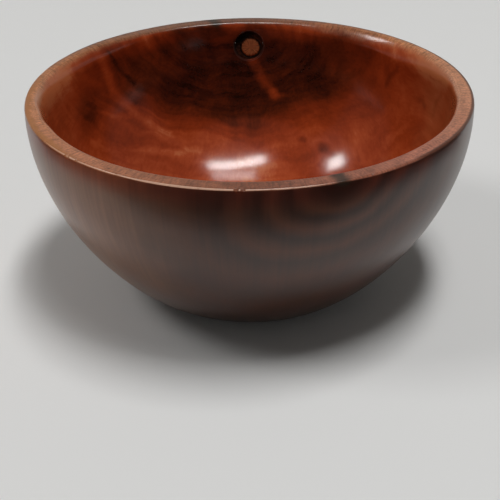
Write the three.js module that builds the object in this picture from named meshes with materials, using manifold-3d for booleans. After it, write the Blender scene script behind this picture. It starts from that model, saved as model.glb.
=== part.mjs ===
// A small bowl turned from one block of dark red wood, with a bark-ringed knot through its far wall.
// Millimetres, +Z up. The origin is the centre of the foot, on the surface that the bowl stands on.
import * as THREE from "three";
import { mergeVertices } from "three/addons/utils/BufferGeometryUtils.js";
import Module from "manifold-3d";

// Overall sizes
const RIM_DIAMETER = 160;
const BOWL_HEIGHT = 76;
const FOOT_DIAMETER = 68;

// Thickness of the wood, and the small rounds on the two edges of the flat rim
const RIM_WALL = 6.5;
const FLOOR_THICKNESS = 10;
const RIM_OUTER_ROUND = 1;
const RIM_INNER_ROUND = 2;

// Curve of the side: the slope in degrees at each end, and how far the curve keeps to it
const FOOT_SLOPE = 11;
const FOOT_SLOPE_REACH = 13.6;
const RIM_LEAN_IN = 3;
const RIM_LEAN_REACH = 37.4;

// Underside: a flat ring to stand on, round a shallow hollow with a sloped edge
const FOOT_RING_WIDTH = 11;
const HOLLOW_DEPTH = 1.5;
const HOLLOW_EDGE = 1.5;

// Knot: a socket through the wall, lined with bark, around a core of branch wood.
// The core sits off centre, as far down and to the right as the thinnest bark allows.
const KNOT_DIAMETER = 12;
const KNOT_BELOW_RIM = 9.8;
const CORE_DIAMETER = 7.6;
const BARK_THINNEST = 0.5;
const CORE_DIRECTION = -48;
const BARK_SET_BACK = 0.6;
const CORE_SET_BACK = 0.2;
const KNOT_GAP = 0.3;

// Facets round the bowl and round the knot, and points along each kind of curve
const BOWL_FACETS = 72;
const KNOT_FACETS = 28;
const SIDE_POINTS = 12;
const ROUND_POINTS = 3;

// Colour and roughness of each kind of wood
const BOWL_FINISH = { color: 0x7a3520, roughness: 0.3 };
const BARK_FINISH = { color: 0x160c07, roughness: 0.85 };
const CORE_FINISH = { color: 0x6b3f28, roughness: 0.5 };

const radians = THREE.MathUtils.degToRad;
const rimRadius = RIM_DIAMETER / 2;
const footRadius = FOOT_DIAMETER / 2;
const innerRimRadius = rimRadius - RIM_WALL;
const wasm = await Module();
wasm.setup();

// The curve of the outside, from the edge of the foot to the outer round of the rim
function outsideCurve() {
  const foot = new THREE.Vector2(footRadius, 0);
  const rim = new THREE.Vector2(rimRadius, BOWL_HEIGHT - RIM_OUTER_ROUND);
  const slope = radians(FOOT_SLOPE);
  const lean = radians(RIM_LEAN_IN);
  const nearFoot = new THREE.Vector2(Math.cos(slope), Math.sin(slope)).multiplyScalar(FOOT_SLOPE_REACH).add(foot);
  const nearRim = new THREE.Vector2(Math.sin(lean), -Math.cos(lean)).multiplyScalar(RIM_LEAN_REACH).add(rim);
  return new THREE.CubicBezierCurve(foot, nearFoot, nearRim, rim);
}

// The curve of the inside, from the inner round of the rim down to the middle of the floor.
// It follows the outside curve, a wall away at the rim and thicker towards the foot.
function insideCurve() {
  const outside = outsideCurve();
  const rim = new THREE.Vector2(innerRimRadius, BOWL_HEIGHT - RIM_INNER_ROUND);
  const nearRim = new THREE.Vector2(outside.v2.x - RIM_WALL, outside.v2.y + RIM_WALL / 3);
  const nearFloor = new THREE.Vector2(outside.v1.x - RIM_WALL / 2, FLOOR_THICKNESS);
  const floor = new THREE.Vector2(0, FLOOR_THICKNESS);
  return new THREE.CubicBezierCurve(rim, nearRim, nearFloor, floor);
}

// A quarter round of the rim, from one angle to the next
function rimRound(centreX, radius, startAngle) {
  const centreY = BOWL_HEIGHT - radius;
  return new THREE.EllipseCurve(centreX, centreY, radius, radius, startAngle, startAngle + Math.PI / 2);
}

// The half section of the bowl, with both side walls set back by the same small amount
function bowlSection(setBack) {
  const hollowRadius = footRadius - FOOT_RING_WIDTH;
  const underside = [
    new THREE.Vector2(0, HOLLOW_DEPTH),
    new THREE.Vector2(hollowRadius - HOLLOW_EDGE, HOLLOW_DEPTH),
    new THREE.Vector2(hollowRadius, 0),
  ];
  const outerRound = rimRound(rimRadius - RIM_OUTER_ROUND, RIM_OUTER_ROUND, 0);
  const innerRound = rimRound(innerRimRadius + RIM_INNER_ROUND, RIM_INNER_ROUND, Math.PI / 2);
  const outside = [...outsideCurve().getPoints(SIDE_POINTS), ...outerRound.getPoints(ROUND_POINTS).slice(1)];
  const inside = [...innerRound.getPoints(ROUND_POINTS), ...insideCurve().getPoints(SIDE_POINTS).slice(1)];
  outside.forEach((point) => (point.x -= setBack));
  inside.slice(0, -1).forEach((point) => (point.x += setBack));
  inside.at(-1).x = 0;
  return [...underside, ...outside, ...inside];
}

// A turned solid about +Z
function turned(section) {
  return asSolid(new THREE.LatheGeometry(section, BOWL_FACETS).rotateX(Math.PI / 2));
}

// A round bar through the far wall along +Y, shifted from the middle of the knot across and up
function wallBar(diameter, shift) {
  const length = rimRadius + RIM_WALL;
  const bar = new THREE.CylinderGeometry(diameter / 2, diameter / 2, length, KNOT_FACETS);
  bar.translate(shift.x, length / 2, BOWL_HEIGHT - KNOT_BELOW_RIM + shift.y);
  return asSolid(bar);
}

// A closed geometry as a solid that can be cut
function asSolid(geometry) {
  const bare = geometry.clone();
  bare.deleteAttribute("normal");
  bare.deleteAttribute("uv");
  const merged = mergeVertices(bare, 1e-3);
  const vertProperties = new Float32Array(merged.attributes.position.array);
  const triVerts = new Uint32Array(merged.index.array);
  return new wasm.Manifold(new wasm.Mesh({ numProp: 3, vertProperties, triVerts }));
}

// A named mesh made from a solid
function piece(name, solid, finish) {
  const { vertProperties, triVerts } = solid.getMesh();
  const geometry = new THREE.BufferGeometry();
  geometry.setAttribute("position", new THREE.BufferAttribute(vertProperties, 3));
  geometry.setIndex(new THREE.BufferAttribute(triVerts, 1));
  geometry.computeVertexNormals();
  const mesh = new THREE.Mesh(geometry, new THREE.MeshStandardMaterial({ ...finish, metalness: 0 }));
  mesh.name = name;
  return mesh;
}

// Where the core lies in the knot, and the sizes that fit inside one another
const barkDiameter = KNOT_DIAMETER - 2 * KNOT_GAP;
const coreHoleDiameter = CORE_DIAMETER + 2 * KNOT_GAP;
const coreOffset = (barkDiameter - coreHoleDiameter) / 2 - BARK_THINNEST;
const middle = new THREE.Vector2(0, 0);
const coreShift = new THREE.Vector2(coreOffset, 0).rotateAround(middle, radians(CORE_DIRECTION));

function turnedBowl() {
  const solid = turned(bowlSection(0)).subtract(wallBar(KNOT_DIAMETER, middle));
  return piece("turned_bowl", solid, BOWL_FINISH);
}

function knotBarkRing() {
  const ring = wallBar(barkDiameter, middle).subtract(wallBar(coreHoleDiameter, coreShift));
  return piece("knot_bark_ring", ring.intersect(turned(bowlSection(BARK_SET_BACK))), BARK_FINISH);
}

function knotCore() {
  const core = wallBar(CORE_DIAMETER, coreShift).intersect(turned(bowlSection(CORE_SET_BACK)));
  return piece("knot_core", core, CORE_FINISH);
}

const bowl = new THREE.Group();
bowl.add(turnedBowl(), knotBarkRing(), knotCore());

export default bowl;
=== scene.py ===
# A small bowl turned from dark red wood, standing on a pale table: glossy inside, satin rim and side,
# and a bark-ringed knot through its far wall. Metres, +Z up, the centre of the foot at the origin.
import math

import bmesh
import bpy
from mathutils import Euler, Matrix, Vector, noise
from mathutils.geometry import interpolate_bezier


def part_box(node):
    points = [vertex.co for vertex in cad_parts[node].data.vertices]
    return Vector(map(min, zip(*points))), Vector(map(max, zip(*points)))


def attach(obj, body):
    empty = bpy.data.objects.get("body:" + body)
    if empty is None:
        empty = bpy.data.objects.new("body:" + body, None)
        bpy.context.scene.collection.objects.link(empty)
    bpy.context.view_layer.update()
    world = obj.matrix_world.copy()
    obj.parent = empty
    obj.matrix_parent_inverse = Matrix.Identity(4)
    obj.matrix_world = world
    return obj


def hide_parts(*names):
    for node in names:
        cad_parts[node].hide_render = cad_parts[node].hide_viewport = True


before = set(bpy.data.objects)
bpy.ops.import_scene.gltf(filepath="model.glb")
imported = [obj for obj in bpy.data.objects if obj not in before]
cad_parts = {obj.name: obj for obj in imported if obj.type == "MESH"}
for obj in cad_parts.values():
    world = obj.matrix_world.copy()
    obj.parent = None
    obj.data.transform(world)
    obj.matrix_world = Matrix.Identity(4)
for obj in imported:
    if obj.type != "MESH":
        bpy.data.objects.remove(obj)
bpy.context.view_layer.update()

MM = 0.001

# Sizes of the bowl: the overall ones come from the frame
bowl_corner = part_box("turned_bowl")[1]
RIM_RADIUS = bowl_corner.x
HEIGHT = bowl_corner.z
FOOT_RADIUS = 34 * MM
RIM_WALL = 6.5 * MM
FLOOR_THICKNESS = 10 * MM
RIM_OUTER_ROUND = 0.8 * MM
RIM_FLAT_START = 1.5 * RIM_OUTER_ROUND
FOOT_ROUND = 0.5 * MM
FOOT_RING_WIDTH = 11 * MM
HOLLOW_RADIUS = FOOT_RADIUS - FOOT_RING_WIDTH
HOLLOW_DEPTH = 1.5 * MM
HOLLOW_EDGE = 1.5 * MM
HOLLOW_ROUND = 0.4 * MM

# Inner edge of the rim, which was sanded more in some places. At bearings in degrees from +X: how wide its
# round is, how deep, and the power of its curve, which is an oval at 2 and flatter below that.
LIP_ROUNDS = (
    (0, 2.6 * MM, 3.0 * MM, 2),
    (18, 4.4 * MM, 6.2 * MM, 2),
    (36, 5.0 * MM, 7.5 * MM, 1.7),
    (50, 4.8 * MM, 5.0 * MM, 1.35),
    (64, 4.4 * MM, 4.4 * MM, 1.35),
    (78, 3.0 * MM, 3.6 * MM, 1.8),
    (92, 2.2 * MM, 2.4 * MM, 2),
    (120, 2.4 * MM, 2.7 * MM, 2),
    (145, 4.4 * MM, 6.2 * MM, 2),
    (165, 5.0 * MM, 9.0 * MM, 2),
    (182, 4.6 * MM, 9.0 * MM, 2),
    (194, 2.8 * MM, 5.0 * MM, 2),
    (206, 1.6 * MM, 1.8 * MM, 2),
    (310, 1.6 * MM, 1.6 * MM, 2),
    (345, 1.8 * MM, 1.9 * MM, 2),
)
LIP_DEPTH = 13 * MM

# Curve of the side: the slope at each end, and how far the curve keeps to it
FOOT_SLOPE = math.radians(11)
FOOT_SLOPE_REACH = 13.6 * MM
RIM_LEAN_IN = math.radians(3)
RIM_LEAN_REACH = 38.4 * MM

# How finely the mesh follows the side, the flat rim and a full turn, how close a vertex is to a ring that
# it lies on, and how close vertices are merged
SIDE_POINTS = 64
RIM_POINTS = 12
TURN_STEPS = 480
ON_RING = 1e-5
MERGE_DISTANCE = 1e-6

# Unevenness that sanding leaves: how far the surface wanders, each time over what length
SAND_WAVES = ((0.07 * MM, 14 * MM), (0.016 * MM, 5 * MM))

# Chips out of the outer edge of the rim: bearing in degrees from +X, length along the edge and depth
RIM_CHIPS = (
    (222.5, 2.6 * MM, 0.5 * MM),
    (226.0, 1.6 * MM, 0.3 * MM),
    (266.9, 1.5 * MM, 0.4 * MM),
    (268.6, 1.2 * MM, 0.35 * MM),
    (298.0, 1.4 * MM, 0.3 * MM),
    (121.0, 1.6 * MM, 0.3 * MM),
    (14.0, 1.5 * MM, 0.25 * MM),
)

# How far a chip reaches from the edge in its own depths, how ragged it is and over what length, and the
# cuts that make the mesh finer there
CHIP_REACH = 2.5
CHIP_RAGGED = 0.6
CHIP_GRAIN = 0.5 * MM
CHIP_CUTS = 2

# Knot: its middle and its core lie where the frame has them
knot_low, knot_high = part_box("knot_bark_ring")
core_low, core_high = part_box("knot_core")
KNOT_GAP = 0.15 * MM
KNOT_MIDDLE = (knot_low + knot_high) / 2
KNOT_RADIUS = (knot_high.x - knot_low.x) / 2 + KNOT_GAP
CORE_MIDDLE = (core_low + core_high) / 2
CORE_RADIUS = (core_high.x - core_low.x) / 2 + KNOT_GAP
KNOT_POINTS = 120

# Unevenness round the knot: the size of the noise, and which part of it is used
SOCKET_LUMPS = (1.5, 3.7)
CORE_LUMPS = (1.2, 8.1)
CORE_CHECKS = (4.4, 11.0)

# Socket: how far its outline wanders, the round at its edge, and the wall round it that has a finer mesh.
# Each step of the round lies so far beyond the outline and so deep, in shares of its size.
SOCKET_WANDER = 0.25 * MM
SOCKET_LIP = 0.22 * MM
SOCKET_STEPS = ((0.4, 0.1), (0.1, 0.4), (0, 1), (0, 4))
SOCKET_SURROUND = 3 * MM
SOCKET_CUTS = 3

# Bark: the rings in its face, how deep it lies, its hollow at the upper left, and its crumbs by their
# number to the millimetre and their strength
BARK_RINGS = 9
BARK_DEPTH = 0.2 * MM
BARK_HOLLOW = 1.5 * MM
BARK_HOLLOW_ANGLE = math.radians(132)
BARK_HOLLOW_SPREAD = math.radians(60)
BARK_CRUMB = 0.15 * MM
BARK_CRUMB_IN_HOLLOW = 0.45 * MM
BARK_CRUMBS = ((1.1, 1.0), (2.6, 0.6))

# Core: the rings in its face and where the first lies, how deep it lies, how far its outline wanders, its
# rounded edge, and the drying checks in its face
CORE_RINGS = 12
CORE_FIRST_RING = 0.3
CORE_DEPTH = 0.2 * MM
CORE_WANDER = 0.2 * MM
CORE_ROUND = 0.5 * MM
CORE_ROUND_POWER = 8
CHECK_DEPTH = 0.5 * MM
CHECK_START = 0.25

# Table: a wide top that curves up into a wall
STAGE_RADIUS = 6.0
STAGE_COVE = 1.5
STAGE_COVE_ROUND = 0.9 * STAGE_COVE
STAGE_WALL = 1.6
STAGE_STEPS = 64
STAGE_COVE_STEPS = 12

# A low dark screen round the front, which only the gloss of the wood shows. Between two distances from the
# middle in millimetres, its foot rises from one height to another, and the fade above it gets shorter.
SCREEN_RADIUS = 115 * MM
SCREEN_HEIGHT = 250 * MM
SCREEN_START = math.radians(183)
SCREEN_END = math.radians(358)
SCREEN_STEPS = 48
SCREEN_FOOT = (35, 100, 0, 40)
SCREEN_FADE = (35, 100, 42, 14)

# Lamps: place, turn in degrees, size each way and watts. Some show in the gloss of the wood, the others
# spread soft light.
LAMP_HEIGHT = 4.29
GLOSS_LAMPS = (
    ("ceiling_gloss", (0.45, -0.4, LAMP_HEIGHT), (0, 0, 15), (2.0, 0.38), 50),
    ("strip_gloss", (0.52, 0.3, LAMP_HEIGHT), (0, 0, 8), (1.4, 0.5), 14),
    ("left_gloss", (-3.2, 0.68, 4.06), (0, -38, -12), (0.75, 0.75), 33),
)
SOFT_LAMPS = (
    ("ceiling_soft", (0.2, -0.87, LAMP_HEIGHT), (0, 0, 0), (0.37, 1.9), 26),
    ("right_soft", (0.65, -0.47, LAMP_HEIGHT), (0, 0, 0), (0.53, 1.95), 84),
    ("left_soft", (-3.2, -0.52, 3.9), (6, -39, 0), (1.5, 1.5), 48),
)

# The room: dim, with a pale wall behind the bowl, by the direction's share of +Y and its height
DIM_ROOM = (0.080, 0.078, 0.076, 1)
PALE_WALL = (0.34, 0.33, 0.31, 1)
WALL_BOUNDS = (("Y", 0.35, 0.75), ("Z", 0.75, 0.45))

# Camera: where it stands, how it is turned, and its lens
CAMERA_PLACE = (0, -406.3 * MM, HEIGHT + 163.8 * MM)
CAMERA_DOWN = math.radians(29.519)
CAMERA_YAW = math.radians(0.056)
CAMERA_ROLL = math.radians(-0.682)
CAMERA_LENS = 86.9
CAMERA_SENSOR = 36


# Sections of the turned body

def outside_curve():
    foot = Vector((FOOT_RADIUS, 0, 0))
    rim = Vector((RIM_RADIUS, 0, HEIGHT))
    near_foot = foot + FOOT_SLOPE_REACH * Vector((math.cos(FOOT_SLOPE), 0, math.sin(FOOT_SLOPE)))
    near_rim = rim + RIM_LEAN_REACH * Vector((math.sin(RIM_LEAN_IN), 0, -math.cos(RIM_LEAN_IN)))
    return foot, near_foot, near_rim, rim


def inside_curve():
    foot, near_foot, near_rim, rim = outside_curve()
    inner_rim = rim - Vector((RIM_WALL, 0, 0))
    inner_near_rim = near_rim + Vector((-RIM_WALL, 0, RIM_WALL / 3))
    near_floor = Vector((near_foot.x - RIM_WALL / 2, 0, FLOOR_THICKNESS))
    floor = Vector((0, 0, FLOOR_THICKNESS))
    return inner_rim, inner_near_rim, near_floor, floor


def closer_points(curve):
    """The same curve with two more points on each step that lies close below the rim."""
    points = []
    for one, other in zip(curve, curve[1:]):
        shares = (0, 1 / 3, 2 / 3) if one.z > HEIGHT - LIP_DEPTH else (0,)
        points += [one.lerp(other, share) for share in shares]
    return points + [curve[-1]]


OUTSIDE = interpolate_bezier(*outside_curve(), SIDE_POINTS)
INSIDE = closer_points(interpolate_bezier(*inside_curve(), SIDE_POINTS))


def underside():
    return [
        Vector((0, 0, HOLLOW_DEPTH)),
        Vector((HOLLOW_RADIUS / 2, 0, HOLLOW_DEPTH)),
        Vector((HOLLOW_RADIUS - HOLLOW_EDGE, 0, HOLLOW_DEPTH)),
        Vector((HOLLOW_RADIUS, 0, 0)),
    ]


def rim_top():
    """Points across the flat of the rim, from beyond its outer round to its inner edge."""
    start = RIM_FLAT_START / RIM_WALL
    shares = [start + (1 - start) * index / RIM_POINTS for index in range(RIM_POINTS)]
    return [OUTSIDE[-1].lerp(INSIDE[0], share) for share in shares]


def radius_at(curve, height):
    """The radius of a section curve at a height."""
    for one, other in zip(curve, curve[1:]):
        if min(one.z, other.z) <= height <= max(one.z, other.z) and one.z != other.z:
            share = (height - one.z) / (other.z - one.z)
            return one.x + share * (other.x - one.x)
    return RIM_RADIUS


def on_far_wall(curve, x, z, into_wall):
    """A point on the far wall, moved along +Y by a depth that may be negative."""
    return Vector((x, math.sqrt(radius_at(curve, z) ** 2 - x ** 2) + into_wall, z))


# Meshes

def new_piece(name, bm, material):
    """A finished piece: smooth faces, one material, its place in its mesh."""
    mesh = bpy.data.meshes.new(name)
    for face in bm.faces:
        face.smooth = True
    bm.to_mesh(mesh)
    bm.free()
    mesh.materials.append(material)
    piece = bpy.data.objects.new(name, mesh)
    bpy.context.scene.collection.objects.link(piece)
    return piece


def round_ring(bm, radius, height, size, segments):
    """Rounds the edge that lies on one circle about the turning axis."""
    def on_ring(vert):
        return abs(vert.co.xy.length - radius) < ON_RING and abs(vert.co.z - height) < ON_RING
    edges = [edge for edge in bm.edges if all(on_ring(vert) for vert in edge.verts)]
    bmesh.ops.bevel(
        bm, geom=edges, offset=size, offset_type="OFFSET", segments=segments, profile=0.5,
        affect="EDGES", material=-1
    )


def spin_section(bm, verts, steps):
    """Turns a line of vertices about +Z into a closed skin."""
    edges = [bm.edges.new(pair) for pair in zip(verts, verts[1:])]
    bmesh.ops.spin(
        bm, geom=verts + edges, cent=(0, 0, 0), axis=(0, 0, 1), angle=2 * math.pi, steps=steps,
        use_merge=True
    )
    bmesh.ops.remove_doubles(bm, verts=bm.verts, dist=MERGE_DISTANCE)
    bmesh.ops.recalc_face_normals(bm, faces=bm.faces)


def grow_ring(bm, edges, place_of):
    """Extrudes a closed ring of edges, and moves each new vertex from its old one's place to another."""
    made = bmesh.ops.extrude_edge_only(bm, edges=edges)["geom"]
    new_verts = {item for item in made if isinstance(item, bmesh.types.BMVert)}
    for vert in new_verts:
        old = next(e.other_vert(vert) for e in vert.link_edges if e.other_vert(vert) not in new_verts)
        vert.co = place_of(old.co)
    return [item for item in made if isinstance(item, bmesh.types.BMEdge) and set(item.verts) <= new_verts]


def refine(bm, near, cuts):
    """Divides the edges that lie in a small part of the skin."""
    edges = [edge for edge in bm.edges if all(near(vert.co) for vert in edge.verts)]
    bmesh.ops.subdivide_edges(bm, edges=edges, cuts=cuts, use_grid_fill=True)


def lip_round(bearing):
    """The round of the rim's inner edge, which goes smoothly from each listed bearing to the next."""
    degrees = math.degrees(bearing) % 360
    stops = LIP_ROUNDS + ((360, *LIP_ROUNDS[0][1:]),)
    for (start, *sizes), (end, *next_sizes) in zip(stops, stops[1:]):
        if start <= degrees <= end:
            share = (degrees - start) / (end - start)
            return Vector(sizes).lerp(Vector(next_sizes), share * share * (3 - 2 * share))


def round_lip(bm):
    """Draws the rim's inner edge in to an oval round, which leaves the wall without a crease."""
    for vert in bm.verts:
        if vert.co.z < HEIGHT - LIP_DEPTH:
            continue
        bearing = math.atan2(vert.co.y, vert.co.x)
        wide, deep, power = lip_round(bearing)
        across = vert.co.xy.length - radius_at(INSIDE, min(vert.co.z, HEIGHT)) - wide
        up = vert.co.z - HEIGHT + deep
        if across >= 0 or up <= 0:
            continue
        away = ((-across / wide) ** power + (up / deep) ** power) ** (1 / power)
        if away > 1:
            height = HEIGHT - deep + up / away
            radius = radius_at(INSIDE, height) + wide + across / away
            vert.co = (radius * math.cos(bearing), radius * math.sin(bearing), height)


def unevenness(place):
    """How far sanding by hand leaves the skin from its true shape at a place."""
    return sum(depth * noise.noise(place / length) for depth, length in SAND_WAVES)


def sand(bm):
    """Leaves the skin uneven everywhere but under the foot."""
    bm.normal_update()
    for vert in bm.verts:
        if vert.co.z > FOOT_ROUND:
            vert.co += vert.normal * unevenness(vert.co)


def rim_edge(bearing):
    """A point on the rim's outer edge, at a bearing in degrees."""
    angle = math.radians(bearing)
    return Vector((RIM_RADIUS * math.cos(angle), RIM_RADIUS * math.sin(angle), HEIGHT))


def chip_rim(bm, bearing, length, depth):
    """Breaks a small chip out of the rim's outer edge."""
    angle = math.radians(bearing)
    edge = rim_edge(bearing)
    refine(bm, lambda co: (co - edge).length < length, CHIP_CUTS)
    inward = Vector((-math.cos(angle), -math.sin(angle), -1)).normalized()
    along = Vector((-math.sin(angle), math.cos(angle), 0))
    for vert in bm.verts:
        offset = vert.co - edge
        if offset.length < length:
            side = offset.dot(along) / (length / 2)
            drop = (offset - along * offset.dot(along)).length / (CHIP_REACH * depth)
            ragged = 1 + CHIP_RAGGED * noise.noise(vert.co / CHIP_GRAIN)
            vert.co += inward * depth * ragged * max(0, 1 - side ** 2 - drop ** 2)


def in_knot(place, radius):
    """True in the far wall within a radius of the knot's middle."""
    return place.y > 0 and math.hypot(place.x - KNOT_MIDDLE.x, place.z - KNOT_MIDDLE.z) < radius


def around_knot(angle, radius):
    """X and Z at an angle round the knot's middle."""
    return KNOT_MIDDLE.x + radius * math.cos(angle), KNOT_MIDDLE.z + radius * math.sin(angle)


def ring_noise(angle, size, part):
    """A noise that closes on itself after a full turn."""
    return noise.noise(Vector((size * math.cos(angle), size * math.sin(angle), part)))


def socket_radius(angle):
    """The socket's radius: a circle that wanders a little."""
    return KNOT_RADIUS + SOCKET_WANDER * ring_noise(angle, *SOCKET_LUMPS)


def socket_place(curve, sign, beyond, depth):
    """Moves a vertex to the socket's edge, that far beyond its radius and that deep in the wall."""
    def place_of(old):
        angle = math.atan2(old.z - KNOT_MIDDLE.z, old.x - KNOT_MIDDLE.x)
        x, z = around_knot(angle, socket_radius(angle) + beyond)
        return on_far_wall(curve, x, z, sign * depth)
    return place_of


def cut_socket(bm):
    """Opens the knot's socket through the far wall, with a small round at both of its edges."""
    refine(bm, lambda co: in_knot(co, KNOT_RADIUS + SOCKET_SURROUND), SOCKET_CUTS)
    inside = [face for face in bm.faces if in_knot(face.calc_center_median(), KNOT_RADIUS + SOCKET_LIP)]
    bmesh.ops.delete(bm, geom=inside, context="FACES")
    open_edges = [edge for edge in bm.edges if edge.is_boundary]
    middle_radius = RIM_RADIUS - RIM_WALL / 2
    deep_edges = []
    for curve, sign in ((INSIDE, 1), (OUTSIDE, -1)):
        ring = [e for e in open_edges if (e.verts[0].co.xy.length - middle_radius) * sign < 0]
        on_surface = socket_place(curve, sign, SOCKET_LIP, 0)
        for vert in {vert for edge in ring for vert in edge.verts}:
            vert.co = on_surface(vert.co)
        for beyond, depth in SOCKET_STEPS:
            ring = grow_ring(bm, ring, socket_place(curve, sign, beyond * SOCKET_LIP, depth * SOCKET_LIP))
        deep_edges += ring
    bmesh.ops.bridge_loops(bm, edges=deep_edges)


def turned_body():
    """The turned block: its vertices also hold which are outside, and how much the rim's face up."""
    bm = bmesh.new()
    outside = bm.verts.layers.float.new("outside")
    faces_up = bm.verts.layers.float.new("faces_up")
    outer = [bm.verts.new(point) for point in underside() + OUTSIDE]
    inner = [bm.verts.new(point) for point in rim_top() + INSIDE]
    for vert in outer:
        vert[outside] = 1
    spin_section(bm, outer + inner, TURN_STEPS)
    # Each edge that is rounded: its radius and height, the size of its round, and its segments
    for ring in (
        (RIM_RADIUS, HEIGHT, RIM_OUTER_ROUND, 4),
        (FOOT_RADIUS, 0, FOOT_ROUND, 3),
        (HOLLOW_RADIUS, 0, HOLLOW_ROUND, 2),
        (HOLLOW_RADIUS - HOLLOW_EDGE, HOLLOW_DEPTH, HOLLOW_ROUND, 2),
    ):
        round_ring(bm, *ring)
    round_lip(bm)
    bm.normal_update()
    for vert in bm.verts:
        vert[faces_up] = vert.normal.z if vert.co.z > HEIGHT - LIP_DEPTH else 0
    sand(bm)
    for chip in RIM_CHIPS:
        chip_rim(bm, *chip)
    cut_socket(bm)
    bmesh.ops.recalc_face_normals(bm, faces=bm.faces)
    return bm


# Knot pieces

def core_edge(angle, beyond):
    """X and Z on the core's outline, that far beyond it."""
    radius = CORE_RADIUS + beyond + CORE_WANDER * ring_noise(angle, *CORE_LUMPS)
    return CORE_MIDDLE.x + radius * math.cos(angle), CORE_MIDDLE.z + radius * math.sin(angle)


def bark_depth(x, z, share):
    """How deep the bark's surface lies: crumbly, and hollow at the upper left."""
    angle = math.atan2(z - KNOT_MIDDLE.z, x - KNOT_MIDDLE.x)
    turn = math.remainder(angle - BARK_HOLLOW_ANGLE, 2 * math.pi)
    in_hollow = math.exp(-(turn / BARK_HOLLOW_SPREAD) ** 2)
    hollow = BARK_HOLLOW * in_hollow * math.sqrt(max(0, math.sin(math.pi * share)))
    place = Vector((x, z, 0)) / MM
    crumbs = sum(strength * noise.noise(place * count) for count, strength in BARK_CRUMBS)
    return BARK_DEPTH + hollow + (BARK_CRUMB + BARK_CRUMB_IN_HOLLOW * in_hollow) * crumbs


def knot_angles():
    return [2 * math.pi * index / KNOT_POINTS for index in range(KNOT_POINTS)]


def bark_ring_points(curve, sign, share):
    """One ring of the bark's face, from the core's outline at share 0 to the socket's edge at 1."""
    points = []
    for angle in knot_angles():
        inner = Vector(core_edge(angle, KNOT_GAP))
        outer = Vector(around_knot(angle, socket_radius(angle) - KNOT_GAP))
        x, z = inner.lerp(outer, share)
        points.append(on_far_wall(curve, x, z, sign * bark_depth(x, z, share)))
    return points


def loft(rings):
    """A skin through rings that have as many points each, and the edges of its last ring."""
    bm = bmesh.new()
    verts = bmesh.ops.create_circle(bm, segments=len(rings[0]), radius=1)["verts"]
    edges = list(bm.edges)
    for vert, point in zip(verts, rings[0]):
        vert.co = point
    for before, after in zip(rings, rings[1:]):
        places = {tuple(old): new for old, new in zip(before, after)}
        edges = grow_ring(bm, edges, lambda old: places[tuple(old)])
    return bm, edges


def bark_body():
    """The ring of bark: one face in the bowl, one on the outside, joined round both edges."""
    shares = [index / (BARK_RINGS - 1) for index in range(BARK_RINGS)]
    front = [bark_ring_points(INSIDE, 1, share) for share in shares]
    back = [bark_ring_points(OUTSIDE, -1, share) for share in reversed(shares)]
    bm = loft(front + back)[0]
    open_edges = [edge for edge in bm.edges if edge.is_boundary]
    bmesh.ops.bridge_loops(bm, edges=open_edges)
    bmesh.ops.recalc_face_normals(bm, faces=bm.faces)
    return bm


def core_ring_points(curve, sign, share):
    """One ring of the core's face, from near its middle at share 0 to its outline at 1."""
    size, part = CORE_CHECKS
    rounding = CORE_ROUND * share ** CORE_ROUND_POWER
    points = []
    for angle in knot_angles():
        edge_x, edge_z = core_edge(angle, 0)
        x = CORE_MIDDLE.x + share * (edge_x - CORE_MIDDLE.x)
        z = CORE_MIDDLE.z + share * (edge_z - CORE_MIDDLE.z)
        crack = max(0, ring_noise(angle, size, part + 2 * share) - CHECK_START)
        check = CHECK_DEPTH * crack * min(1, 2 * share)
        points.append(on_far_wall(curve, x, z, sign * (CORE_DEPTH + check + rounding)))
    return points


def core_body():
    """The plug of branch wood: a face in the bowl and one on the outside, with a side between them."""
    steps = [index + CORE_FIRST_RING for index in range(CORE_RINGS)]
    shares = [step / steps[-1] for step in steps]
    front = [core_ring_points(INSIDE, 1, share) for share in shares]
    back = [core_ring_points(OUTSIDE, -1, share) for share in reversed(shares)]
    bm, last_edges = loft(front + back)
    first_edges = [edge for edge in bm.edges if edge.is_boundary and edge not in last_edges]
    for end in (first_edges, last_edges):
        verts = list({vert for edge in end for vert in edge.verts})
        middle = sum((vert.co for vert in verts), Vector()) / len(verts)
        bmesh.ops.pointmerge(bm, verts=verts, merge_co=middle)
    bmesh.ops.recalc_face_normals(bm, faces=bm.faces)
    return bm


# Materials

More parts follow.
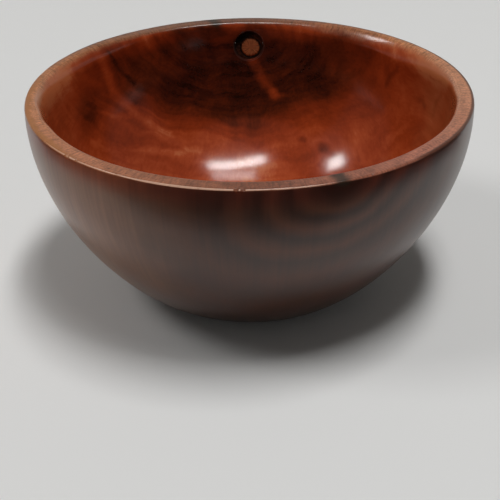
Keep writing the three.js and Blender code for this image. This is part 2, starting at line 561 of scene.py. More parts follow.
class Nodes:
    """Short calls for the nodes of a material or of the room."""

    def __init__(self, owner):
        owner.use_nodes = True
        self.tree = owner.node_tree

    def put(self, socket, value):
        """Links a node's output to a socket, or sets the socket to a plain value."""
        if isinstance(value, bpy.types.NodeSocket):
            self.tree.links.new(value, socket)
        else:
            socket.default_value = value

    def add(self, kind, values=(), **settings):
        """A new node, with its settings and its first inputs."""
        node = self.tree.nodes.new(kind)
        for name, value in settings.items():
            setattr(node, name, value)
        for index, value in enumerate(values):
            self.put(node.inputs[index], value)
        return node

    def maths(self, operation, *values, use_clamp=False):
        return self.add("ShaderNodeMath", values, operation=operation, use_clamp=use_clamp).outputs[0]

    def product(self, first, *others):
        """All of the values multiplied."""
        for value in others:
            first = self.maths("MULTIPLY", first, value)
        return first

    def vector(self, operation, *values):
        return self.add("ShaderNodeVectorMath", values, operation=operation).outputs[0]

    def length(self, vector):
        return self.add("ShaderNodeVectorMath", (vector,), operation="LENGTH").outputs["Value"]

    def dot(self, one, other):
        return self.add("ShaderNodeVectorMath", (one, other), operation="DOT_PRODUCT").outputs["Value"]

    def split(self, vector):
        return self.add("ShaderNodeSeparateXYZ", (vector,)).outputs

    def join(self, x, y, z):
        return self.add("ShaderNodeCombineXYZ", (x, y, z)).outputs[0]

    def smooth(self, value, start, end, low=0.0, high=1.0):
        """Goes smoothly from low to high as the value goes from start to end."""
        values = (value, start, end, low, high)
        return self.add("ShaderNodeMapRange", values, interpolation_type="SMOOTHSTEP").outputs[0]

    def grain(self, place, size, detail=2.0, roughness=0.5):
        """A cloudy noise whose marks have about the given size."""
        node = self.add("ShaderNodeTexNoise", (self.vector("DIVIDE", place, size),))
        node.inputs["Scale"].default_value = 1
        node.inputs["Detail"].default_value = detail
        node.inputs["Roughness"].default_value = roughness
        return node

    def swing(self, place, size, reach, detail=2.0):
        """The same noise as a number that swings either way from 0 by about half its reach."""
        value = self.grain(place, size, detail).outputs["Fac"]
        return self.product(self.maths("SUBTRACT", value, 0.5), reach)

    def wander(self, place, size, reach):
        """A place that is moved about by a noise."""
        colour = self.grain(place, size).outputs["Color"]
        shift = self.vector("MULTIPLY", self.vector("SUBTRACT", colour, (0.5, 0.5, 0.5)), reach)
        return self.vector("ADD", place, shift)

    def ramp(self, value, stops):
        """A ramp of colours, or of greys where a stop is a number."""
        node = self.add("ShaderNodeValToRGB", (value,))
        elements = node.color_ramp.elements
        elements.remove(elements[1])
        for index, (position, colour) in enumerate(stops):
            element = elements[0] if index == 0 else elements.new(position)
            element.position = position
            element.color = (*colour, 1) if isinstance(colour, tuple) else (colour, colour, colour, 1)
        return node.outputs["Color"]

    def blend(self, share, one, other):
        """A number between two others."""
        node = self.add("ShaderNodeMix", (share,))
        self.put(node.inputs[2], one)
        self.put(node.inputs[3], other)
        return node.outputs[0]

    def mix(self, share, one, other):
        """A colour between two others."""
        node = self.add("ShaderNodeMix", (share,), data_type="RGBA")
        self.put(node.inputs[6], one)
        self.put(node.inputs[7], other)
        return node.outputs[2]


class Finish(Nodes):
    """A material in the making."""

    def __init__(self, name):
        self.material = bpy.data.materials.new(name)
        super().__init__(self.material)
        self.shader = self.tree.nodes["Principled BSDF"]

    def millimetres(self):
        """The place on the piece, in millimetres."""
        coordinates = self.add("ShaderNodeTexCoord").outputs["Object"]
        return self.vector("MULTIPLY", coordinates, (1000, 1000, 1000))

    def on_mesh(self, name):
        """A number that the mesh holds at its vertices."""
        return self.add("ShaderNodeAttribute", attribute_name=name).outputs["Fac"]

    def shade(self, name, value):
        """Sets or links one of the shader's own sockets."""
        self.put(self.shader.inputs[name], value)

    def bump(self, height, distance):
        """Relief of a height from 0 to 1, over a distance in metres."""
        node = self.add("ShaderNodeBump")
        node.inputs["Distance"].default_value = distance
        self.put(node.inputs["Height"], height)
        self.shade("Normal", node.outputs["Normal"])


# Wood figure, in millimetres. The pith runs from the near rim to the far rim, level with the rim.
PITH_RIGHT = 7.2
PITH_SLANT = -0.285
PITH_TWIST = 0.005
PITH_HEIGHT = HEIGHT / MM
RING_SQUEEZE = 0.73
RING_REACH = 80.0

# How light the wood is at a distance from the pith: dark heart with paler rings, then red and orange
RING_TONES = (
    (0, 0.11), (5, 0.09), (8, 0.23), (11, 0.10), (16, 0.25), (20, 0.12), (25, 0.23), (29, 0.12),
    (34, 0.17), (38, 0.30), (43, 0.58), (49, 0.76), (56, 0.74), (64, 0.80), (80, 0.74),
)

# The colour of each tone, from the darkest heart to the palest orange
TONE_COLOURS = (
    (0.00, (0.016, 0.0038, 0.0016)),
    (0.15, (0.050, 0.0090, 0.0036)),
    (0.30, (0.104, 0.0160, 0.0046)),
    (0.50, (0.200, 0.0265, 0.0064)),
    (0.70, (0.310, 0.0430, 0.0095)),
    (0.85, (0.410, 0.0700, 0.0190)),
    (1.00, (0.530, 0.1500, 0.0560)),
)

# Bends: the size of the noise that moves a place about, and how far it does so
RING_BENDS = (((34, 60, 34), (13, 6, 13)), ((8, 20, 8), (3.2, 3, 3.2)))
MARK_BEND = ((6, 9, 6), (4, 4, 4))
OUTSIDE_BEND = ((30, 40, 30), (7, 4, 7))
SIDE_BEND = ((9, 14, 9), (12, 4, 12))
PITH_BEND = ((2.5, 5, 2.5), (3, 3, 3))

# Streaks along the rings, and fibres, clouds and flecks along the block: size, strength and detail. A
# turn round the pith is made a length at the middle radius of the rings.
RING_STREAKS = ((2.0, 16, 26), 0.42, 3.0)
RING_MIDDLE = 30
WOOD_FLECKS = (
    ((1.0, 24, 1.0), 0.20, 3.0),
    ((12, 24, 12), 0.40, 2.0),
    ((4.0, 9, 4.0), 0.24, 3.0),
)

# Soft marks: middle, size each way, and how much lighter they are, or darker below 0
SPOTS = (
    ((-63.4, 32.4, 57.4), (9, 12, 11), -0.28),
    ((10.9, 66.2, 46.9), (5.0, 6, 3.2), 0.26),
    ((21.8, 52.5, 32.6), (3.0, 4, 2.0), -0.24),
    ((29.9, 47.3, 31.7), (4.5, 5, 2.4), -0.26),
    ((70.0, 24.0, 74.0), (9, 20, 10), 0.24),
    ((20.0, 70.0, 75.0), (26, 12, 9), 0.32),
    ((-7.0, 73.0, 75.0), (7, 6, 4), 0.36),
    ((27.0, 66.0, 56.0), (8, 9, 11), -0.08),
    ((38.0, 61.0, 63.0), (17, 14, 15), 0.13),
    ((-36.0, 60.0, 61.0), (22, 14, 12), 0.09),
    ((0.4, 69.5, 52.4), (7, 8, 6), -0.10),
    ((12.9, 62.6, 41.5), (9, 9, 6), -0.14),
    ((-45.0, 58.0, 73.5), (15, 13, 10), 0.30),
    ((-37.0, 62.0, 73.5), (13, 10, 6), 0.20),
    ((2.0, 40.0, 22.0), (24, 20, 9), 0.18),
    ((-57.0, 36.0, 49.0), (24, 26, 20), -0.24),
    # This mark paints in sheen on the upper inner wall at the left, over a little paler wood
    ((-71.0, 8.0, 71.0), (9, 30, 10), 0.24),
    ((-42.0, 41.0, 35.0), (18, 16, 13), -0.09),
)

# Veins: the points that each runs through, its half width, and how much lighter it is, or darker below 0
VEINS = (
    (((1.3, 71.8, 60.0), (5.5, 69.5, 53.5), (10.9, 66.2, 46.9)), 3.2, 0.34),
    (((-57.6, 45.6, 71.0), (-54.1, 46.5, 57.9), (-46.8, 48.4, 47.4), (-33.0, 50.5, 36.5)), 3.8, 0.24),
    (((-60.8, 24.8, 44.4), (-44.7, 38.5, 34.9), (-32.0, 45.0, 31.0), (-20.8, 49.5, 29.5)), 3.2, 0.16),
    (((-59.4, 36.3, 52.7), (-54.0, 41.5, 48.5), (-48.7, 46.0, 46.7)), 1.8, 0.18),
    (((-56.0, 48.0, 74.0), (-52.7, 50.6, 66.5), (-46.5, 54.2, 57.6)), 1.6, -0.24),
    (((66.1, 32.3, 73.7), (69.1, 24.7, 70.0), (71.7, 16.3, 71.7)), 1.6, -0.20),
    (((58.1, 44.4, 66.7), (56.0, 45.6, 62.5), (55.0, 46.0, 59.3)), 2.2, -0.18),
    (((65.1, 29.9, 58.9), (66.5, 27.0, 60.0), (67.2, 24.7, 58.6)), 1.8, -0.20),
    (((71.7, 14.5, 67.2), (70.5, 17.5, 63.0), (69.5, 16.5, 58.3)), 2.2, -0.12),
)

# What smooth() is given below says where a change starts and ends, and the values there if not 0 and 1
SPOT_FADE = (1.0, 0.2)
OUTSIDE_EDGE = (0.2, 0.8)
ON_LEFT = (0, -20)

# How much lighter the wood is close below the rim, by height
RIM_LIFT = (66, 75, 0, 0.16)

# The outside is browner, with softer rings and faint fibres, red only under the rim and darker towards the
# foot. Fibres have a size round the bowl, through the wall and up it, and a strength.
OUTSIDE_RINGS = (
    (0, 0.10), (5, 0.08), (10, 0.25), (13, 0.11), (17, 0.27), (20.5, 0.11), (25, 0.25), (29, 0.12),
    (36, 0.21), (44, 0.15), (52, 0.20), (80, 0.17),
)
OUTSIDE_FIBRES = (((1.4, 1, 34), 0.12), ((9, 1, 12), 0.08))
OUTSIDE_TINT = (1.00, 1.95, 2.60)
FOOT_SHADE = (0, 40, 0.45, 1)
RED_STARTS = (66, 74)
FIBRE_DETAIL = 3

# Sapwood, by the distance from the block's middle, and less of it inside at the left
SAPWOOD_SHARE = (62, 82, 0, 0.75)
SAPWOOD_INNER_LEFT = (0, 1, 1, 0.25)
SAPWOOD = (0.420, 0.150, 0.055, 1)
SAPWOOD_OUTSIDE = (0.130, 0.055, 0.024, 1)

# Paler brown wood down the left of the outside
LEFT_SHARE = (12, 62, 0, 0.75)
LEFT_FIBRES = (((1.5, 1, 34), 1.1), ((7, 1, 40), 0.9))
LEFT_OUTSIDE = (0.240, 0.105, 0.052, 1)
LEFT_UNDER_RIM = (0.270, 0.066, 0.026, 1)

# The dry rim's colour at bearings in degrees from +X, paler and pinker at the right with painted sheen,
# its scratches by size along, across and through it and by strength, and the radius at which a bearing is
# turned into a length
RIM_COLOURS = (
    (-180, (0.500, 0.200, 0.085)),
    (-140, (0.430, 0.165, 0.080)),
    (-90, (0.205, 0.068, 0.034)),
    (-45, (0.380, 0.138, 0.086)),
    (0, (0.500, 0.220, 0.120)),
    (40, (0.480, 0.205, 0.095)),
    (70, (0.260, 0.095, 0.046)),
    (95, (0.150, 0.060, 0.034)),
    (135, (0.260, 0.105, 0.050)),
    (180, (0.500, 0.200, 0.085)),
)
RIM_SCRATCHES = (((0.8, 5, 1), 1.6), ((0.7, 0.8, 1), 1.5), ((9, 3, 1), 0.9))
RIM_MIDDLE = 77

# How much the rim has to face up to be dry: less at the near side than at the far side, with a ragged edge
DRY_START = (-15, 20, 0.15, 0.50)
DRY_BLEND = (0, 0.40)
DRY_RAGGED = ((4, 4, 4), 0.3)

# Tan band along the outer part of the rim, at the left
TAN_LEFT = (-50, -66, 0, 0.8)
TAN_NEAR = (25, 0)
TAN_FACES_UP = (0.2, 0.6)
TAN_RADIUS = (RIM_RADIUS - 0.4 * RIM_WALL) / MM
TAN_OUTWARD = (TAN_RADIUS, TAN_RADIUS + 1)
TAN_RAGGED = ((4, 4, 4), 4, 3)
EDGE_TAN = (0.360, 0.135, 0.035, 1)

# Paler colour on the rim's inner edge, at the near left, where it faces neither quite up nor quite in:
# worn wood with a painted highlight line
PALE_LEFT = (-15, -30)
PALE_NEAR = (10, -5)
PALE_FACES_UP = (0.35, 0.6)
PALE_FACES_IN = (0.95, 0.75)
INNER_EDGE_WEAR_AND_SHEEN = (0.560, 0.270, 0.160, 1)

# The rim's outer edge, by the sum of radius and height: a painted line of shade, and bare wood where it is
# worn at the near left, with a painted highlight there, and in the chips
EDGE_SUM = (RIM_RADIUS + HEIGHT) / MM
SHADE_LINE_EDGE = (EDGE_SUM - 1.5, EDGE_SUM - 0.7)
SHADE_LINE_SLANT = 0.8
SHADE_LINE_SHARE = (-35, -5, 0, 0.8)
# A dark colour that paints in the shade of the edge's round
EDGE_PAINTED_SHADE = (0.050, 0.020, 0.014, 1)
WORN_SHEEN_EDGE = (EDGE_SUM - 0.52, EDGE_SUM - 0.48)
WORN_SHEEN_NEAR = (-30, -55)
WORN_SHEEN_LEFT = (36, 18)
WORN_SHEEN_MARKS = ((3, 3, 3), 1, 3)
WORN_SHEEN_STARTS = (-0.35, -0.05)
WORN_SHEEN_SHARE = 0.8
CHIP_BARE = 0.45
# Bare wood in the chips; on the worn line at the near left it also paints in the edge's highlight
BARE_WOOD_AND_SHEEN = (0.680, 0.420, 0.300, 1)

# The grey streak across the rim, by the distance from the pith
PITH_SHARE = (3.0, 0.3, 0, 0.85)
PITH_GREY = (0.020, 0.016, 0.010, 1)

# Stain round the knot, darkest towards the hollow in its bark, and dull short of the hollow's far edge
STAIN_REACH = (KNOT_RADIUS / MM + 1.0, KNOT_RADIUS / MM)
STAIN_SHARE = (-2, 4, 0.3, 1)
DULL_ENDS = (5.6, 5.0)
KNOT_STAIN = (0.014, 0.004, 0.002, 1)

# How much of the light the oiled wood mirrors, where 0.5 is that of a hard varnish, and how rough it is:
# the inside grows rougher as it turns to face up, and a little more so on the right lip
WOOD_GLOSS = 0.55
INSIDE_ROUGHNESS = (0.80, 0.97, 0.14, 0.36)
RIGHT_LIP = (20, 36)
RIGHT_LIP_ROUGHER = (0.1, 0.4, 0, 0.04)
POLISH_SWING = ((2, 8, 2), 0.06, 3)
OUTSIDE_ROUGHNESS = 0.28
SOCKET_ROUGHNESS = 0.9

# Pores along the block, and the share of their relief inside and outside
PORE_SIZE = (0.35, 3.5, 0.35)
PORE_DETAIL = 3.0
PORE_DEPTH = 0.05 * MM
PORE_SHARES = (0.12, 0.0)


class TurnedWood(Finish):
    """The finish of the turned block, with where a point of it lies and what its mesh says of it."""

    def __init__(self, name):
        super().__init__(name)
        self.place = self.millimetres()
        self.x, self.y, self.z = self.split(self.place)
        self.radius = self.length(self.join(self.x, self.y, 0.0))
        self.bearing = self.maths("ARCTAN2", self.y, self.x)
        self.around = self.product(self.bearing, RIM_MIDDLE)
        self.down_side = self.join(self.around, 0.0, self.z)
        self.outward = self.maths("ADD", self.radius, self.z)
        self.outside = self.smooth(self.on_mesh("outside"), *OUTSIDE_EDGE)
        self.inside = self.maths("SUBTRACT", 1, self.outside)
        self.faces_up = self.on_mesh("faces_up")
        self.left = self.smooth(self.x, *ON_LEFT)
        self.from_middle = self.maths("ABSOLUTE", self.split(self.wander(self.place, *SIDE_BEND))["X"])
        from_knot, self.to_hollow = knot_distances(self, self.place)
        self.by_knot = self.product(self.smooth(from_knot, *STAIN_REACH), self.smooth(self.y, 0, 1))


def off_middle(finish, place, middle):
    """Across and up from the middle of a piece in the far wall."""
    return finish.vector("MULTIPLY", finish.vector("SUBTRACT", place, middle / MM), (1, 0, 1))


def knot_distances(finish, place):
    """How far a place is from the knot's middle, and how far towards the hollow in its bark."""
    offset = off_middle(finish, place, KNOT_MIDDLE)
    hollow = (math.cos(BARK_HOLLOW_ANGLE), 0, math.sin(BARK_HOLLOW_ANGLE))
    return finish.length(offset), finish.dot(offset, hollow)


def spot(finish, place, middle, size):
    """1 in the middle of a soft round mark, 0 outside it."""
    offset = finish.vector("DIVIDE", finish.vector("SUBTRACT", place, middle), size)
    return finish.smooth(finish.length(offset), *SPOT_FADE)


def from_line(finish, place, start, end):
    """The distance from a straight line between two points."""
    along = Vector(end) - Vector(start)
    offset = finish.vector("SUBTRACT", place, start)
    share = finish.maths("DIVIDE", finish.dot(offset, along), along.length_squared, use_clamp=True)
    nearest = finish.vector("MULTIPLY", finish.join(share, share, share), along)
    return finish.length(finish.vector("SUBTRACT", offset, nearest))


def vein(finish, place, points, half_width):
    """1 along the middle of a soft line through some points, 0 outside it."""
    away = from_line(finish, place, points[0], points[1])
    for start, end in zip(points[1:], points[2:]):
        away = finish.maths("MINIMUM", away, from_line(finish, place, start, end))
    return finish.smooth(away, half_width, 0)


def from_pith(finish, place):
    """Across and up from the pith, squeezed so that the rings are round, and the distance from it."""
    x, y, z = finish.split(place)
    up = finish.maths("SUBTRACT", z, PITH_HEIGHT)
    pith_x = finish.maths("MULTIPLY_ADD", y, PITH_SLANT, PITH_RIGHT)
    pith_x = finish.maths("MULTIPLY_ADD", finish.product(y, up), -PITH_TWIST, pith_x)
    across = finish.product(finish.maths("SUBTRACT", x, pith_x), RING_SQUEEZE)
    return across, up, finish.length(finish.join(across, up, 0.0))


def ring_tone(finish, distance, rings):
    """How light the ring at a distance from the pith is."""
    stops = [(reach / RING_REACH, tone) for reach, tone in rings]
    return finish.ramp(finish.maths("DIVIDE", distance, RING_REACH), stops)


def with_fibres(finish, value, place, fibres):
    """A value that swings with each kind of fibre in a list."""
    for size, reach in fibres:
        value = finish.maths("ADD", value, finish.swing(place, size, reach, FIBRE_DETAIL))
    return value


def wood_tone(finish, place):
    """How light the wood is: rings round the pith, streaks along them, clouds and single marks."""
    curled = place
    for bend in RING_BENDS:
        curled = finish.wander(curled, *bend)
    across, up, distance = from_pith(finish, curled)
    turn = finish.maths("ARCTAN2", across, finish.product(up, -1))
    along_ring = finish.product(turn, RING_MIDDLE)
    streaked = finish.join(distance, along_ring, finish.split(curled)["Y"])
    tone = ring_tone(finish, distance, RING_TONES)
    tone = finish.maths("ADD", tone, finish.swing(streaked, *RING_STREAKS))
    for fleck in WOOD_FLECKS:
        tone = finish.maths("ADD", tone, finish.swing(curled, *fleck))
    bent = finish.wander(place, *MARK_BEND)
    for middle, size, lift in SPOTS:
        tone = finish.maths("MULTIPLY_ADD", spot(finish, bent, middle, size), lift, tone)
    for points, half_width, lift in VEINS:
        tone = finish.maths("MULTIPLY_ADD", vein(finish, bent, points, half_width), lift, tone)
    return tone


def inside_colour(wood):
    """The wood inside the bowl, a little lighter close below the rim."""
    tone = wood.maths("ADD", wood_tone(wood, wood.place), wood.smooth(wood.z, *RIM_LIFT))
    return wood.ramp(tone, TONE_COLOURS)


def outside_colour(wood):
    """The wood on the outside of the bowl: soft arcs round the pith, and faint fibres down the side."""
    distance = from_pith(wood, wood.wander(wood.place, *OUTSIDE_BEND))[2]
    tone = with_fibres(wood, ring_tone(wood, distance, OUTSIDE_RINGS), wood.down_side, OUTSIDE_FIBRES)
    red = wood.ramp(wood.product(tone, wood.smooth(wood.z, *FOOT_SHADE)), TONE_COLOURS)
    return wood.mix(wood.smooth(wood.z, *RED_STARTS), wood.vector("MULTIPLY", red, OUTSIDE_TINT), red)


def sapwood(wood, colour):
    """Adds the paler wood at either side of the block."""
    less = wood.smooth(wood.product(wood.left, wood.inside), *SAPWOOD_INNER_LEFT)
    share = wood.product(wood.smooth(wood.from_middle, *SAPWOOD_SHARE), less)
    return wood.mix(share, colour, wood.mix(wood.outside, SAPWOOD, SAPWOOD_OUTSIDE))


def left_side(wood, colour):
    """Adds fibres of paler brown wood down the left of the outside, redder under the rim."""
    share = wood.smooth(wood.from_middle, *LEFT_SHARE)
    fibres = with_fibres(wood, 1.0, wood.down_side, LEFT_FIBRES)
    pale = wood.mix(wood.smooth(wood.z, *RED_STARTS), LEFT_OUTSIDE, LEFT_UNDER_RIM)
    return wood.mix(wood.product(share, wood.outside, wood.left, fibres), colour, pale)


def on_dry_rim(wood):
    """1 on the dry flat of the rim, 0 off it."""
    ragged = wood.maths("ADD", wood.faces_up, wood.swing(wood.place, *DRY_RAGGED))
    return wood.smooth(wood.maths("SUBTRACT", ragged, wood.smooth(wood.y, *DRY_START)), *DRY_BLEND)


def rim_colour(wood):
    """The dry rim: a colour for each bearing, with painted sheen in the pinker colour at the right, and
    fine scratches across the rim.
    """
    stops = [((degrees + 180) / 360, colour) for degrees, colour in RIM_COLOURS]
    colour = wood.ramp(wood.maths("MULTIPLY_ADD", wood.bearing, 0.5 / math.pi, 0.5), stops)
    strength = with_fibres(wood, 1.0, wood.join(wood.around, wood.radius, 0.0), RIM_SCRATCHES)
    return wood.vector("MULTIPLY", colour, wood.join(strength, strength, strength))


def tan_band(wood, colour):
    """Adds the tan band along the outer part of the rim."""
    ragged_radius = wood.maths("ADD", wood.radius, wood.swing(wood.place, *TAN_RAGGED))
    share = wood.product(
        wood.smooth(wood.x, *TAN_LEFT),
        wood.smooth(wood.faces_up, *TAN_FACES_UP),
        wood.smooth(wood.y, *TAN_NEAR),
        wood.smooth(ragged_radius, *TAN_OUTWARD),
    )
    return wood.mix(share, colour, EDGE_TAN)


def inner_edge_wear_and_sheen(wood, colour):
    """Adds the paler colour on the rim's inner edge: worn wood with a painted highlight line."""
    share = wood.product(
        wood.smooth(wood.faces_up, *PALE_FACES_UP),
        wood.smooth(wood.faces_up, *PALE_FACES_IN),
        wood.inside,
        wood.smooth(wood.x, *PALE_LEFT),
        wood.smooth(wood.y, *PALE_NEAR),
    )
    return wood.mix(share, colour, INNER_EDGE_WEAR_AND_SHEEN)


def painted_shade_edge(wood, colour):
    """Paints a line of shade along the rim's outer edge, away from the part that is worn."""
    from_wear = wood.smooth(wood.maths("MULTIPLY_ADD", wood.x, SHADE_LINE_SLANT, wood.y), *SHADE_LINE_SHARE)
    return wood.mix(wood.product(from_wear, wood.smooth(wood.outward, *SHADE_LINE_EDGE)), colour, EDGE_PAINTED_SHADE)


def worn_and_sheen_edge(wood, colour):
    """Adds bare wood on the worn part of the rim's outer edge, with a painted highlight there, and in the
    chips.
    """
    share = wood.product(
        wood.smooth(wood.y, *WORN_SHEEN_NEAR),
        wood.smooth(wood.x, *WORN_SHEEN_LEFT),
        wood.smooth(wood.swing(wood.place, *WORN_SHEEN_MARKS), *WORN_SHEEN_STARTS),
        wood.smooth(wood.outward, *WORN_SHEEN_EDGE),
    )
    for bearing, length, _ in RIM_CHIPS:
        size = CHIP_BARE * length / MM
        chip = spot(wood, wood.place, rim_edge(bearing) / MM, (size, size, size))
        share = wood.maths("MAXIMUM", share, chip)
    return wood.mix(wood.product(share, WORN_SHEEN_SHARE), colour, BARE_WOOD_AND_SHEEN)


def pith_streak(wood, colour):
    """Adds the grey streak where the pith crosses the rim."""
    distance = from_pith(wood, wood.wander(wood.place, *PITH_BEND))[2]
    return wood.mix(wood.smooth(distance, *PITH_SHARE), colour, PITH_GREY)


def knot_stain(wood, colour):
    """Adds the stain round the knot."""
    share = wood.product(wood.by_knot, wood.smooth(wood.to_hollow, *STAIN_SHARE))
    return wood.mix(share, colour, KNOT_STAIN)


def wood_roughness(wood):
    """Gloss inside, satin outside and on the rim, dull at the socket's edge."""
    rougher = wood.smooth(wood.faces_up, *RIGHT_LIP_ROUGHER)
    rougher = wood.product(rougher, wood.smooth(wood.x, *RIGHT_LIP))
    inside = wood.maths("ADD", wood.smooth(wood.faces_up, *INSIDE_ROUGHNESS), rougher)
    inside = wood.maths("ADD", inside, wood.swing(wood.place, *POLISH_SWING))
    dull = wood.product(wood.by_knot, wood.smooth(wood.to_hollow, *DULL_ENDS))
    return wood.blend(dull, wood.blend(wood.outside, inside, OUTSIDE_ROUGHNESS), SOCKET_ROUGHNESS)


def polished_wood():
    wood = TurnedWood("polished_wood")
    on_rim = on_dry_rim(wood)
    colour = wood.mix(wood.outside, inside_colour(wood), outside_colour(wood))
    colour = left_side(wood, sapwood(wood, colour))
    colour = wood.mix(on_rim, colour, rim_colour(wood))
    for add_mark in (tan_band, inner_edge_wear_and_sheen, painted_shade_edge, worn_and_sheen_edge, pith_streak, knot_stain):
        colour = add_mark(wood, colour)
    wood.shade("Base Color", colour)
    wood.shade("Roughness", wood_roughness(wood))
    wood.shade("Specular IOR Level", WOOD_GLOSS)
    pores = wood.grain(wood.place, PORE_SIZE, PORE_DETAIL).outputs["Fac"]
    relief = wood.blend(on_rim, wood.blend(wood.outside, *PORE_SHARES), 1.0)
    wood.bump(wood.product(pores, relief), PORE_DEPTH)
    return wood.material


# Bark: black in the hollow and in the crack round the core, which paints in their shade, elsewhere as
# brown as the wood round it
CRUMB_SIZE = (0.8, 2, 0.8)
CRUMB_DETAIL = 4.0
CRUMB_ROUGHNESS = 0.6
CRUMB_DEPTH = 0.5 * MM
BARK_BLACK = ((0.3, (0.003, 0.0018, 0.001)), (0.55, (0.010, 0.005, 0.003)), (0.75, (0.035, 0.015, 0.007)))
BARK_BROWN = ((0.3, (0.014, 0.004, 0.002)), (0.55, (0.035, 0.008, 0.003)), (0.75, (0.08, 0.020, 0.008)))
BLACK_STARTS = (1.0, 4.0)
CRACK_REACH = (CORE_RADIUS / MM + 0.6, CORE_RADIUS / MM + 0.25)
BARK_ROUGHNESS = 0.7
BARK_GLOSS = 0.15


def knot_bark():
    finish = Finish("knot_bark")
    place = finish.millimetres()
    crumbs = finish.grain(place, CRUMB_SIZE, CRUMB_DETAIL, CRUMB_ROUGHNESS).outputs["Fac"]
    hollow = finish.smooth(knot_distances(finish, place)[1], *BLACK_STARTS)
    from_core = finish.length(off_middle(finish, place, CORE_MIDDLE))
    # The black paints shade into the bark's hollow and the crack round the core
    black = finish.maths("MAXIMUM", hollow, finish.smooth(from_core, *CRACK_REACH))
    colour = finish.mix(black, finish.ramp(crumbs, BARK_BROWN), finish.ramp(crumbs, BARK_BLACK))
    finish.shade("Base Color", colour)
    finish.shade("Roughness", BARK_ROUGHNESS)
    finish.shade("Specular IOR Level", BARK_GLOSS)
    finish.bump(crumbs, CRUMB_DEPTH)
    return finish.material


# Core: rays that fan out from its middle, by turn and length, with a darker edge
RAY_TURN = 3.0
RAY_LENGTH = 0.35
RAY_SIZE = (0.55, 1, 1)
RAY_DETAIL = 3.0
RAY_DEPTH = 0.15 * MM
RAY_COLOURS = (
    (0.32, (0.05, 0.014, 0.005)),
    (0.43, (0.22, 0.062, 0.020)),
    (0.58, (0.36, 0.108, 0.036)),
    (0.75, (0.50, 0.185, 0.074)),
)
RAY_ROUGHNESS = (0.2, 0.8, 0.5, 0.3)
CORE_RIM_SHARE = (3.2, 3.9, 0, 0.6)
CORE_RIM = (0.09, 0.026, 0.010, 1)


def knot_wood():
    finish = Finish("knot_wood")
    offset = off_middle(finish, finish.millimetres(), CORE_MIDDLE)
    away = finish.length(offset)
    sides = finish.split(offset)
    turn = finish.maths("ARCTAN2", sides["X"], sides["Z"])
    fan = finish.join(finish.product(turn, RAY_TURN), finish.product(away, RAY_LENGTH), 0.0)
    rays = finish.grain(fan, RAY_SIZE, RAY_DETAIL).outputs["Fac"]
    edge = finish.smooth(away, *CORE_RIM_SHARE)
    finish.shade("Base Color", finish.mix(edge, finish.ramp(rays, RAY_COLOURS), CORE_RIM))
    finish.shade("Roughness", finish.smooth(rays, *RAY_ROUGHNESS))
    finish.shade("Specular IOR Level", WOOD_GLOSS)
    finish.bump(rays, RAY_DEPTH)
    return finish.material


# Table top and screen
TABLE_COLOUR = (0.80, 0.80, 0.79, 1)
CLOTH_COLOUR = (0.01, 0.01, 0.01, 1)


def matt(name, colour):
    """A finish in one colour, without any gloss."""
    finish = Finish(name)
    finish.shade("Base Color", colour)
    finish.shade("Roughness", 1)
    finish.shade("Specular IOR Level", 0)
    return finish


def pale_table():
    return matt("pale_table", TABLE_COLOUR).material


def dark_cloth():
    """Black cloth that thins out towards its foot, and at either side starts higher up, with less fade."""
    finish = matt("dark_cloth", CLOTH_COLOUR)
    place = finish.split(finish.millimetres())
    from_middle = finish.maths("ABSOLUTE", place["X"])
    above_foot = finish.maths("SUBTRACT", place["Z"], finish.smooth(from_middle, *SCREEN_FOOT))
    faded = finish.maths("DIVIDE", above_foot, finish.smooth(from_middle, *SCREEN_FADE))
    finish.shade("Alpha", finish.smooth(faded, 0, 1))
    return finish.material


# Pieces
for name, node, slot, body, material in (
    ("turned_bowl_wood", "turned_bowl", "polished_wood", turned_body(), polished_wood()),
    ("knot_bark_crust", "knot_bark_ring", "knot_bark", bark_body(), knot_bark()),
    ("knot_core_plug", "knot_core", "knot_wood", core_body(), knot_wood()),
):
    piece = new_piece(name, body, material)
    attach(piece, "root")
    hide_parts(node)


# Table and light

def stage_sweep():
    """A wide pale table top that curves up into a wall all round."""
    bm = bmesh.new()
    section = ((0, 0), (STAGE_RADIUS - STAGE_COVE, 0), (STAGE_RADIUS, 0), (STAGE_RADIUS, STAGE_WALL))
    spin_section(bm, [bm.verts.new((radius, 0, height)) for radius, height in section], STAGE_STEPS)
    round_ring(bm, STAGE_RADIUS, 0, STAGE_COVE_ROUND, STAGE_COVE_STEPS)
    bmesh.ops.reverse_faces(bm, faces=bm.faces)
    return bm


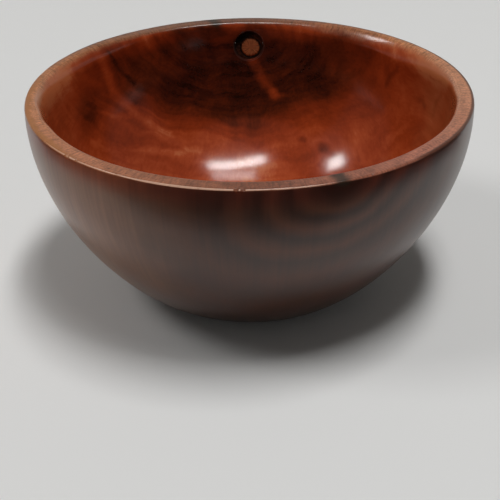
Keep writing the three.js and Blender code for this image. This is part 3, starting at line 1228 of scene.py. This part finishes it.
def dark_screen():
    bm = bmesh.new()
    foot = Vector((SCREEN_RADIUS * math.cos(SCREEN_START), SCREEN_RADIUS * math.sin(SCREEN_START), 0))
    verts = [bm.verts.new(foot), bm.verts.new(foot + Vector((0, 0, SCREEN_HEIGHT)))]
    edge = bm.edges.new(verts)
    bmesh.ops.spin(
        bm, geom=verts + [edge], cent=(0, 0, 0), axis=(0, 0, 1), angle=SCREEN_END - SCREEN_START,
        steps=SCREEN_STEPS
    )
    return bm


table = new_piece("table", stage_sweep(), pale_table())

screen = new_piece("dark_screen", dark_screen(), dark_cloth())
screen.visible_camera = False
screen.visible_diffuse = False
screen.visible_shadow = False
screen.visible_transmission = False


def lamp(name, place, turn, size, watts, in_gloss):
    """A lamp that either shows in the gloss of the wood or spreads soft light."""
    data = bpy.data.lights.new(name, "AREA")
    data.shape = "RECTANGLE"
    data.size, data.size_y = size
    data.energy = watts
    light = bpy.data.objects.new(name, data)
    light.location = place
    light.rotation_euler = [math.radians(angle) for angle in turn]
    light.visible_glossy = in_gloss
    light.visible_diffuse = not in_gloss
    bpy.context.scene.collection.objects.link(light)


for lamps, in_gloss in ((GLOSS_LAMPS, True), (SOFT_LAMPS, False)):
    for settings in lamps:
        lamp(*settings, in_gloss)


def room():
    world = bpy.data.worlds.new("room")
    nodes = Nodes(world)
    direction = nodes.split(nodes.add("ShaderNodeTexCoord").outputs["Generated"])
    shares = [nodes.smooth(direction[axis], start, end) for axis, start, end in WALL_BOUNDS]
    colour = nodes.mix(nodes.product(*shares), DIM_ROOM, PALE_WALL)
    nodes.put(nodes.tree.nodes["Background"].inputs["Color"], colour)
    return world


bpy.context.scene.world = room()

# Camera
camera_data = bpy.data.cameras.new("camera")
camera_data.lens = CAMERA_LENS
camera_data.sensor_width = CAMERA_SENSOR
camera = bpy.data.objects.new("camera", camera_data)
turn = Euler((math.pi / 2 - CAMERA_DOWN, 0, CAMERA_YAW)).to_matrix() @ Matrix.Rotation(CAMERA_ROLL, 3, "Z")
camera.matrix_world = Matrix.Translation(CAMERA_PLACE) @ turn.to_4x4()
bpy.context.scene.collection.objects.link(camera)
bpy.context.scene.camera = camera
bpy.context.scene.view_settings.view_transform = "Standard"
